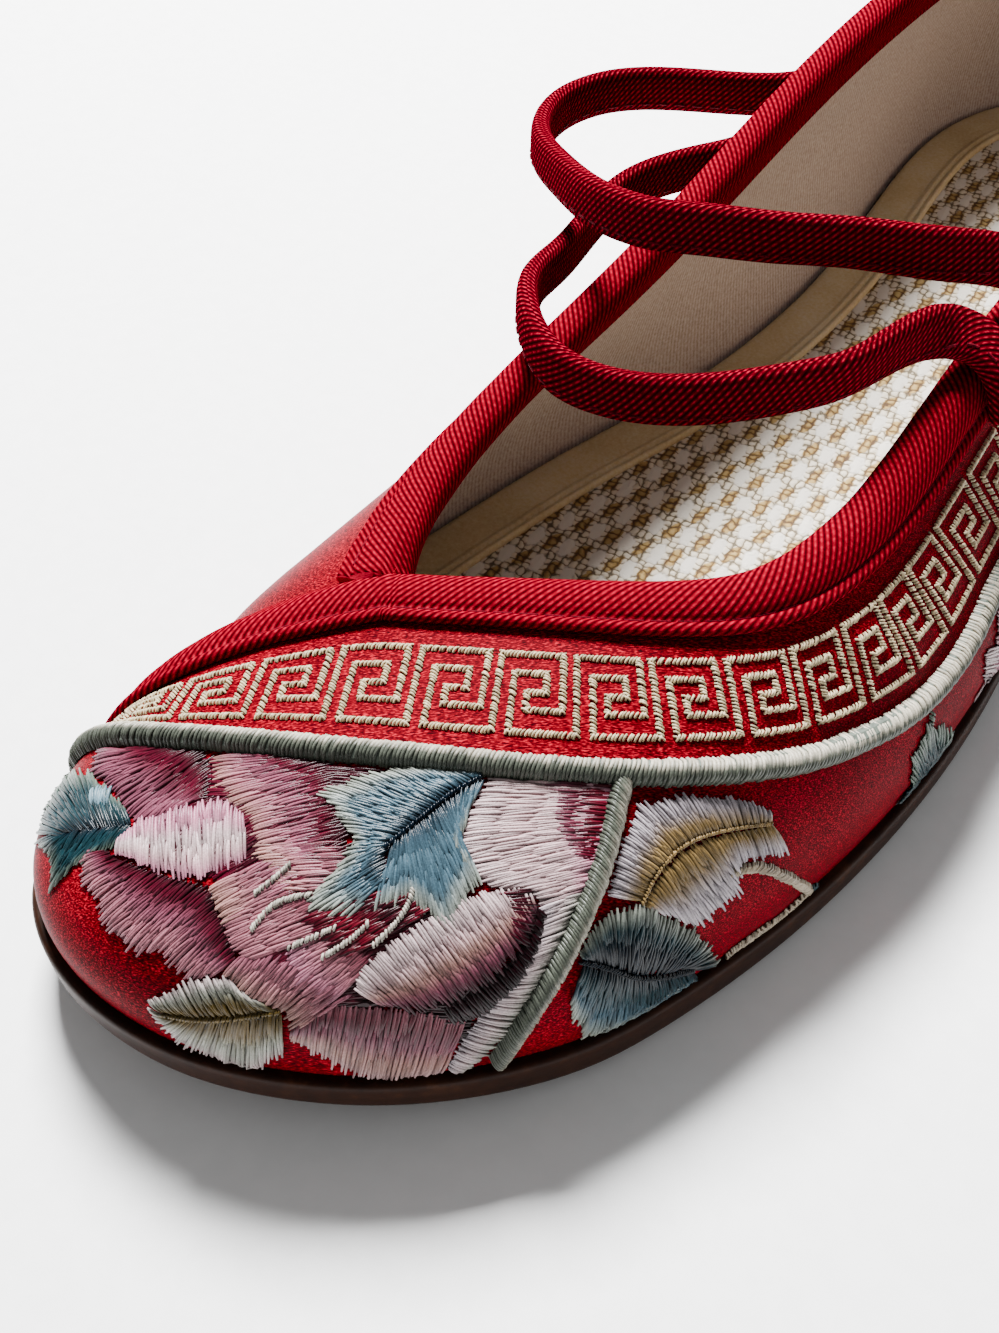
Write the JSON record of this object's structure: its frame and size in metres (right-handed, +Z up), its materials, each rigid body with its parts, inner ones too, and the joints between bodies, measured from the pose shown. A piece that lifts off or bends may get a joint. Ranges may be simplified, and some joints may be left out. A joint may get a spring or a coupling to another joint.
{
  "type": "mary jane flat",
  "caption": "Left cloth mary jane flat: lasted satin upper with a bound, wrapped-over vamp, raised cords, slack rolled straps, woven insole and a low moulded rubber sole.",
  "frame": {"origin": "centre of the bounding box on the floor plane", "axes": "+Z up, toe toward -Y, outer side of the foot toward +X"},
  "size_m": [0.0982, 0.2528, 0.0654],
  "materials": {
    "outsole": "smooth moulded, semi-matt",
    "insole": "woven cotton",
    "upper": "satin weave, glossy",
    "vamp_binding": "twill tape",
    "quarter_binding": "twill tape",
    "edging_cord": "satin stitched thread",
    "divider_cord": "satin stitched thread",
    "strap_rear": "rolled twill",
    "strap_front": "rolled twill"
  },
  "bodies": {
    "root": {"outsole": "outsole", "insole": "insole", "upper": "upper", "vamp_binding": "vamp_binding", "quarter_binding": "quarter_binding", "edging_cord": "edging_cord", "divider_cord": "divider_cord", "strap_rear": "strap_rear", "strap_front": "strap_front"}
  },
  "joints": []
}
